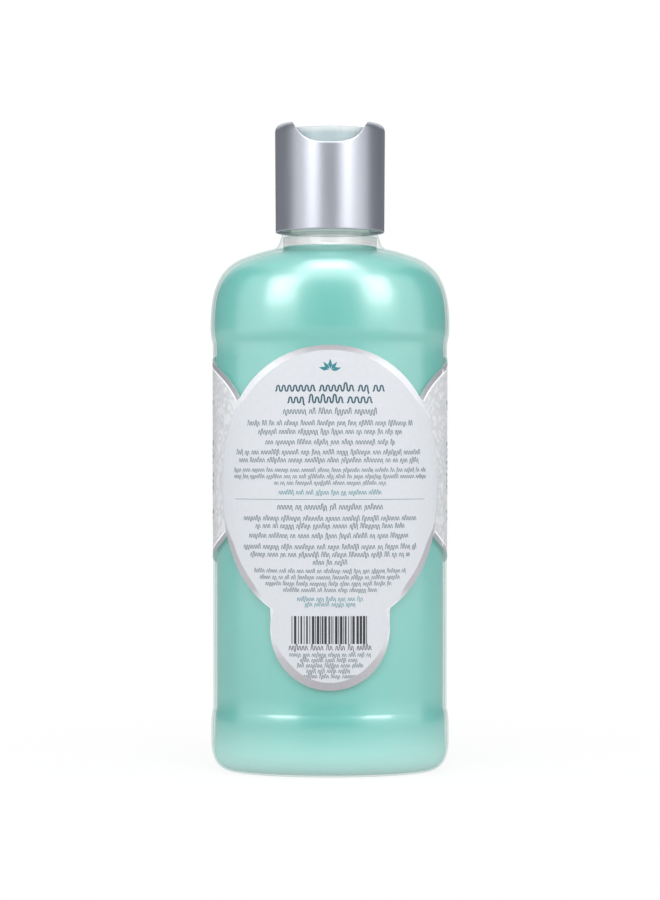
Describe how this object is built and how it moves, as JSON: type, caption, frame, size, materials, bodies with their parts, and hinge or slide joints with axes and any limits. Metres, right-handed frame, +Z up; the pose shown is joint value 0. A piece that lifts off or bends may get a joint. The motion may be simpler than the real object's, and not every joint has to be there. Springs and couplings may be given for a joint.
{
  "type": "shampoo bottle",
  "caption": "Clear oval bottle full of pearly teal shampoo, with a wrap label on a recessed panel and a satin silver screw cap whose disc tips up to open the spout.",
  "frame": {"origin": "middle of the base, on the surface the bottle stands on", "axes": "+Z up along the bottle; X across its width; +Y towards the front, where the spout opens; -Y towards the label's text and the cap's thumb scoop"},
  "size_m": [0.0776, 0.0552, 0.2095],
  "materials": {
    "clear_pet": "clear gloss",
    "pearl_shampoo": "pearly liquid",
    "label_film": "satin film, silver border",
    "liner_foam": "matte",
    "cap_plastic": "smooth moulded",
    "silver_shell": "satin",
    "disc_plastic": "smooth moulded, slightly translucent"
  },
  "bodies": {
    "bottle": {"bottle": "clear_pet", "shampoo": "pearl_shampoo", "wrap_label": "label_film"},
    "liner": {"cap_liner": "liner_foam"},
    "cap": {"cap_base": "cap_plastic", "cap_shell": "silver_shell"},
    "disc": {"disc_top": "disc_plastic"}
  },
  "joints": [
    {"name": "cap_lift", "type": "slide", "parent": "bottle", "child": "liner", "axis": [0, 0, 1], "range_m": [0, 0.00635]},
    {"name": "cap_turn", "type": "hinge", "parent": "liner", "child": "cap", "pos_m": [0, 0, 0.1745], "axis": [0, 0, 1], "range_deg": [0, 540]},
    {"name": "disc_tilt", "type": "hinge", "parent": "cap", "child": "disc", "pos_m": [0, -0.003, 0.2065], "axis": [1, 0, 0], "range_deg": [0, 28]}
  ],
  "couplings": [
    {"joint": "cap_lift", "follows": "cap_turn", "m_per_rad": 0.00067322}
  ]
}
